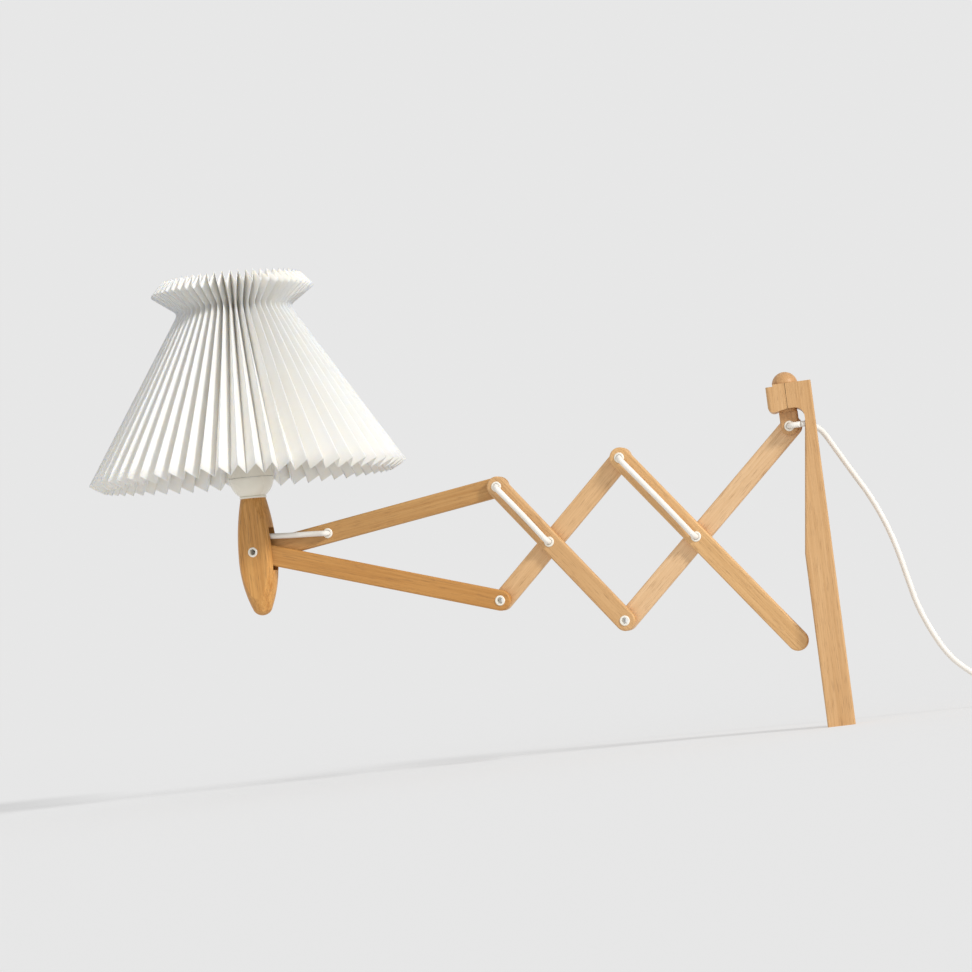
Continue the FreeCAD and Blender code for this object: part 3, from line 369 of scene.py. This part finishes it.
def dress_fittings():
    lacquer = plain_skin("eyelet_lacquer", (0.92, 0.88, 0.79), (0.88, 0.83, 0.72), (0.28, 0.4), coat=0.2)
    dress(lacquer, *[name for name in NODES if name.startswith("eyelet_")])
    jacket = plain_skin("cord_jacket", (0.90, 0.86, 0.80), (0.86, 0.82, 0.75), (0.45, 0.55), skin=2500.0)
    dress(jacket, *[name for name in NODES if name.startswith("lead_")], "plug_sleeve")
    cream = plain_skin("socket_cream", (0.92, 0.88, 0.76), (0.90, 0.85, 0.73), (0.22, 0.3), coat=0.25)
    dress(cream, "socket_cup", "socket_cap", "collar_ring", "shade_ring_lower", "plug_body")
    steel = plain_skin("zinc_steel", (0.60, 0.60, 0.61), (0.50, 0.50, 0.51), (0.3, 0.45), metal=1.0)
    dress(steel, "nipple", "lock_nut", "bulb_cap")
    brass = plain_skin("socket_brass", (0.78, 0.57, 0.25), (0.70, 0.49, 0.20), (0.25, 0.4), metal=1.0)
    dress(brass, "thread_shell", "centre_contact", "terminal_screws", "plug_pins")
    dress(plain_skin("porcelain", (0.86, 0.85, 0.82), (0.83, 0.82, 0.78), (0.15, 0.25)), "socket_insert")
    glass = plain_skin("opal_glass", (0.90, 0.89, 0.86), (0.88, 0.87, 0.84), (0.12, 0.2), coat=0.3)
    dress(glass, "bulb_glass")
    dress(plain_skin("white_wire", (0.85, 0.85, 0.83), (0.80, 0.80, 0.78), (0.3, 0.4)), "shade_carrier")
    dress(plain_skin("waist_thread", (0.88, 0.87, 0.83), (0.80, 0.79, 0.75), (0.7, 0.8)), "waist_thread")
    return jacket


# ================================================================ pleated shade


def on_holder(point):
    """From the lamp holder's own frame, with its pivot at the origin, to the frame of the lamp."""
    turn = Matrix.Rotation(SWING, 3, "Z") @ Matrix.Rotation(HOLDER_LEAN, 3, "X")
    return PIVOT["shade_tilt"] + turn @ point


def fold_levels():
    """Rim, waist and collar of the gathered paper, as (middle radius, height, outward slant, pleat depth)."""

    def depth(radius):
        return math.sqrt(PANEL_WIDTH**2 - (math.pi * radius / PLEATS) ** 2)

    slant = math.atan2(RIM_RADIUS - WAIST_RADIUS, WAIST_HEIGHT - RIM_HEIGHT)
    rim_depth = depth(RIM_RADIUS - PANEL_WIDTH / 2)
    rim_radius = RIM_RADIUS - rim_depth / 2 * math.cos(slant)
    rim_height = RIM_HEIGHT - rim_depth / 2 * math.sin(slant)
    waist_depth = depth(WAIST_RADIUS - PANEL_WIDTH / 2)
    waist_radius = WAIST_RADIUS - waist_depth / 2
    flare = math.atan2(COLLAR_RADIUS - waist_radius, COLLAR_HEIGHT - WAIST_HEIGHT)
    return [
        (rim_radius, rim_height, slant, rim_depth),
        (waist_radius, WAIST_HEIGHT, 0.0, waist_depth),
        (COLLAR_RADIUS, COLLAR_HEIGHT, -flare, depth(COLLAR_RADIUS)),
    ]


CONE_ROWS = 12
WAIST_ROWS = 4
COLLAR_ROWS = 5
BELOW_WAIST = 0.03  # share of the cone that the pinch at the waist takes
ABOVE_WAIST = 0.16  # share of the collar that it takes
PANEL_STEPS = (0.0, 0.07, 0.5, 0.93)  # across a panel, close to the fold on both sides


def fold_line(rim, waist, collar):
    """Points up one fold: straight up the cone, round the waist and straight out along the collar."""
    below = waist.lerp(rim, BELOW_WAIST)
    above = waist.lerp(collar, ABOVE_WAIST)
    line = [rim.lerp(below, row / CONE_ROWS) for row in range(CONE_ROWS)]
    for row in range(WAIST_ROWS):
        part = row / WAIST_ROWS
        line.append(below.lerp(waist, part).lerp(waist.lerp(above, part), part))
    return line + [above.lerp(collar, row / COLLAR_ROWS) for row in range(COLLAR_ROWS + 1)]


HAND_SEED = 11
UNEVEN_SPACING = (-0.10, 0.10)  # of a panel's share of the turn
UNEVEN_DEPTH = (0.95, 1.03)
PANEL_BOW = (-0.5 * MM, 0.9 * MM)
PAPER_GLOW = {"Subsurface Weight": 1.0, "Subsurface Radius": (1.0, 0.9, 0.75), "Subsurface Scale": 0.6 * MM}


def pleated_shade():
    hand = random.Random(HAND_SEED)
    levels = fold_levels()
    folds = 2 * PLEATS
    lines = []
    for step in range(folds):
        side = 1 if step % 2 == 0 else -1
        points = []
        for radius, height, slant, depth in levels:
            angle = math.pi * (step + hand.uniform(*UNEVEN_SPACING)) / PLEATS
            reach = side * depth / 2 * hand.uniform(*UNEVEN_DEPTH)
            out = radius + reach * math.cos(slant)
            up = height + reach * math.sin(slant)
            points.append(Vector((out * math.cos(angle), out * math.sin(angle), up)))
        lines.append(fold_line(*points))
    rows = len(lines[0])
    vertices = []
    for step in range(folds):
        here, there = lines[step], lines[(step + 1) % folds]
        bow = hand.uniform(*PANEL_BOW)
        for part in PANEL_STEPS:
            for row in range(rows):
                across = there[row] - here[row]
                outward = Vector((here[row].x, here[row].y, 0)).normalized()
                # The panel bows most in its middle, and less and less from the rim up.
                lift = outward * bow * 4 * part * (1 - part) * (1 - row / rows)
                vertices.append(on_holder(SHADE_OFFSET + here[row] + across * part + lift))
    columns = folds * len(PANEL_STEPS)
    faces = []
    for column in range(columns):
        beside = (column + 1) % columns
        for row in range(rows - 1):
            left, right = column * rows + row, beside * rows + row
            faces.append((left, right, right + 1, left + 1))
    mesh = bpy.data.meshes.new("folded_paper_shade")
    mesh.from_pydata([tuple(v) for v in vertices], [], faces)
    mesh.validate()
    mesh.shade_smooth()
    shade = bpy.data.objects.new("folded_paper_shade", mesh)
    bpy.context.scene.collection.objects.link(shade)
    thickness = shade.modifiers.new("paper", "SOLIDIFY")
    thickness.thickness = PAPER_THICKNESS
    thickness.offset = 0.0
    paper = plain_skin(
        "folded_paper", (0.89, 0.875, 0.84), (0.88, 0.86, 0.815), (0.6, 0.7), clouds=25.0, skin=900.0
    )
    set_shader(paper.node_tree.nodes["Principled BSDF"], PAPER_GLOW)
    mesh.materials.append(paper)
    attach(shade, "lamp_head")
    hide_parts("pleated_shade")


# ================================================================ free cord


def coil_route():
    """Inwards along the floor, up a layer where the spiral reverses, and outwards on top."""
    inwards = QUARTERS_IN * POINTS_PER_QUARTER
    outwards = QUARTERS_OUT * POINTS_PER_QUARTER
    climb = QUARTERS_UP * POINTS_PER_QUARTER
    inset = COIL_PITCH / (4 * POINTS_PER_QUARTER)
    outer = COIL_INNER_RADIUS + QUARTERS_IN * COIL_PITCH / 4
    centre = COIL_START + Vector((outer, 0, 0))
    points = []
    for number in range(inwards + climb + outwards + 1):
        angle = math.pi - number * math.pi / 2 / POINTS_PER_QUARTER
        inward = min(number, inwards + climb / 2)
        outward = max(0.0, number - inwards - climb / 2)
        radius = outer - inset * (inward - outward)
        height = COIL_PITCH * min(1.0, max(0.0, (number - inwards) / climb))
        points.append(centre + Vector((radius * math.cos(angle), radius * math.sin(angle), height)))
    return points


def tail_route(start, heading):
    points = [start]
    for number, run in enumerate(TAIL_RUNS):
        turned = heading + TAIL_TURN * number
        points.append(points[-1] + Vector((math.cos(turned), math.sin(turned), 0)) * run)
    return points


CORD_ROUNDNESS = 6
CORD_SMOOTHNESS = 8
ROUTE_ORDER = 3
FREE_ROUTE = [  # millimetres, from the hole in the neck down to the start of the coil
    (-12.0, -4.6, 110.0),
    (-22.0, -4.6, 110.0),
    (-31.7, 3.6, 105.6),
    (-39.5, 12.0, 90.2),
    (-42.4, 23.9, 68.1),
    (-42.8, 39.9, 39.4),
    (-41.9, 52.5, 4.7),
    (-41.4, 59.7, -30.4),
    (-40.6, 65.8, -58.9),
    (-38.9, 83.2, -98.2),
    (-37.6, 103.2, -117.4),
    (-35.6, 121.9, -131.0),
    (-33.9, 140.7, -140.3),
    (-33.0, 157.5, -143.5),
    (-33.0, 174.5, -143.5),
]


def supply_cord(jacket):
    coil = coil_route()
    points = [Vector(place) * MM for place in FREE_ROUTE]
    points += coil
    heading = math.pi / 2 - (QUARTERS_IN + QUARTERS_UP + QUARTERS_OUT) * math.pi / 2
    leave = coil[-1] + Vector((math.cos(heading), math.sin(heading), 0)) * CORD_DIAMETER
    points += tail_route(leave, heading)
    curve = bpy.data.curves.new("supply_cord", "CURVE")
    curve.dimensions = "3D"
    curve.bevel_depth = CORD_DIAMETER / 2
    curve.bevel_resolution = CORD_ROUNDNESS
    curve.resolution_u = CORD_SMOOTHNESS
    curve.use_fill_caps = True
    spline = curve.splines.new("NURBS")
    spline.points.add(len(points) - 1)
    for point, place in zip(spline.points, points):
        point.co = (*place, 1.0)
    spline.order_u = ROUTE_ORDER
    spline.use_endpoint_u = True
    curve.materials.append(jacket)
    cord = bpy.data.objects.new("supply_cord", curve)
    bpy.context.scene.collection.objects.link(cord)
    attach(cord, "wall")
    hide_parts("free_cord", "cord_coil", "cord_tail")


# ================================================================ studio


FLOOR_HALF_SIDE = 40.0
FLOOR_CLEAR = 1.2  # metres from the lamp at which the floor starts to fade into the backdrop
FLOOR_FADED = 3.5
FLOOR_GREY = (0.88, 0.88, 0.88, 1)
BACKDROP_GREY = (0.80, 0.80, 0.80, 1)
BACKDROP_SHARE = (0.5, 1.0)  # of the backdrop's grey in the floor, near the lamp and far off


def studio_floor():
    """A pale floor that shows the lamp's shadow and fades into the backdrop further off."""
    mesh = bpy.data.meshes.new("studio_floor")
    corners = [(-1, -1), (1, -1), (1, 1), (-1, 1)]
    places = [(x * FLOOR_HALF_SIDE, y * FLOOR_HALF_SIDE, FLOOR_HEIGHT) for x, y in corners]
    mesh.from_pydata(places, [], [(0, 1, 2, 3)])
    floor = bpy.data.objects.new("studio_floor", mesh)
    bpy.context.scene.collection.objects.link(floor)
    material, tree, shader, place = new_material("studio_floor")
    set_shader(shader, {"Base Color": FLOOR_GREY, "Roughness": 1.0, "Specular IOR Level": 0.0})
    rays = tree.nodes.new("ShaderNodeLightPath").outputs
    seen = reckon(tree, "MAXIMUM", rays["Is Camera Ray"], rays["Is Glossy Ray"])
    far = tree.nodes.new("ShaderNodeVectorMath")
    far.operation = "LENGTH"
    tree.links.new(place, far.inputs[0])
    faded = remap(tree, far.outputs["Value"], FLOOR_CLEAR, FLOOR_FADED, *BACKDROP_SHARE)
    share = reckon(tree, "MULTIPLY", seen, faded)
    glow = add_node(tree, "ShaderNodeEmission", Color=BACKDROP_GREY, Strength=1.0)
    tree.links.new(blend_surface(tree, share, shader, glow), tree.nodes["Material Output"].inputs["Surface"])
    mesh.materials.append(material)


AMBIENT = 0.57
KEY_LIGHT = dict(direction=(-0.52, -0.70, -0.46), strength=2.1, softness=9.0)
FILL_LIGHT = dict(direction=(-0.80, 0.50, -0.15), strength=0.3, softness=60.0)
CLIP_END = 100.0


def studio_world():
    world = bpy.data.worlds.new("studio")
    world.use_nodes = True
    bpy.context.scene.world = world
    tree = world.node_tree
    tree.nodes.clear()
    rays = tree.nodes.new("ShaderNodeLightPath").outputs
    seen = reckon(tree, "MAXIMUM", rays["Is Camera Ray"], rays["Is Glossy Ray"])
    seen = reckon(tree, "MAXIMUM", seen, rays["Is Transmission Ray"])
    ambient = add_node(tree, "ShaderNodeBackground", Color=(1, 1, 1, 1), Strength=AMBIENT)
    backdrop = add_node(tree, "ShaderNodeBackground", Color=BACKDROP_GREY, Strength=1.0)
    out = tree.nodes.new("ShaderNodeOutputWorld")
    tree.links.new(blend_surface(tree, seen, ambient, backdrop), out.inputs["Surface"])


def sun(name, direction, strength, softness):
    """A distant soft lamp that shines along a direction; its softness is in degrees."""
    light = bpy.data.lights.new(name, "SUN")
    light.energy = strength
    light.angle = math.radians(softness)
    lamp = bpy.data.objects.new(name, light)
    lamp.rotation_mode = "QUATERNION"
    lamp.rotation_quaternion = Vector(direction).to_track_quat("-Z", "Y")
    bpy.context.scene.collection.objects.link(lamp)


def photo_camera():
    back = Vector(
        (
            math.sin(CAMERA_AZIMUTH) * math.cos(CAMERA_ELEVATION),
            -math.cos(CAMERA_AZIMUTH) * math.cos(CAMERA_ELEVATION),
            math.sin(CAMERA_ELEVATION),
        )
    )
    level = Vector((0, 0, 1)).cross(back).normalized()
    upward = back.cross(level)
    right = level * math.cos(CAMERA_ROLL) + upward * math.sin(CAMERA_ROLL)
    above = upward * math.cos(CAMERA_ROLL) - level * math.sin(CAMERA_ROLL)
    data = bpy.data.cameras.new("photo_camera")
    data.sensor_width = SENSOR_WIDTH
    data.lens = FOCAL_PIXELS / IMAGE_SIDE * SENSOR_WIDTH
    data.clip_end = CLIP_END
    camera = bpy.data.objects.new("photo_camera", data)
    turn = Matrix((right, above, back)).transposed()
    camera.matrix_world = Matrix.Translation(CAMERA_TARGET + back * CAMERA_DISTANCE) @ turn.to_4x4()
    bpy.context.scene.collection.objects.link(camera)
    bpy.context.scene.camera = camera


photo_camera()
studio_floor()
studio_world()
sun("key_from_the_right", **KEY_LIGHT)
sun("fill_from_the_left", **FILL_LIGHT)
bpy.context.scene.view_settings.view_transform = "Standard"

dress_oak()
cord_jacket = dress_fittings()
pleated_shade()
supply_cord(cord_jacket)
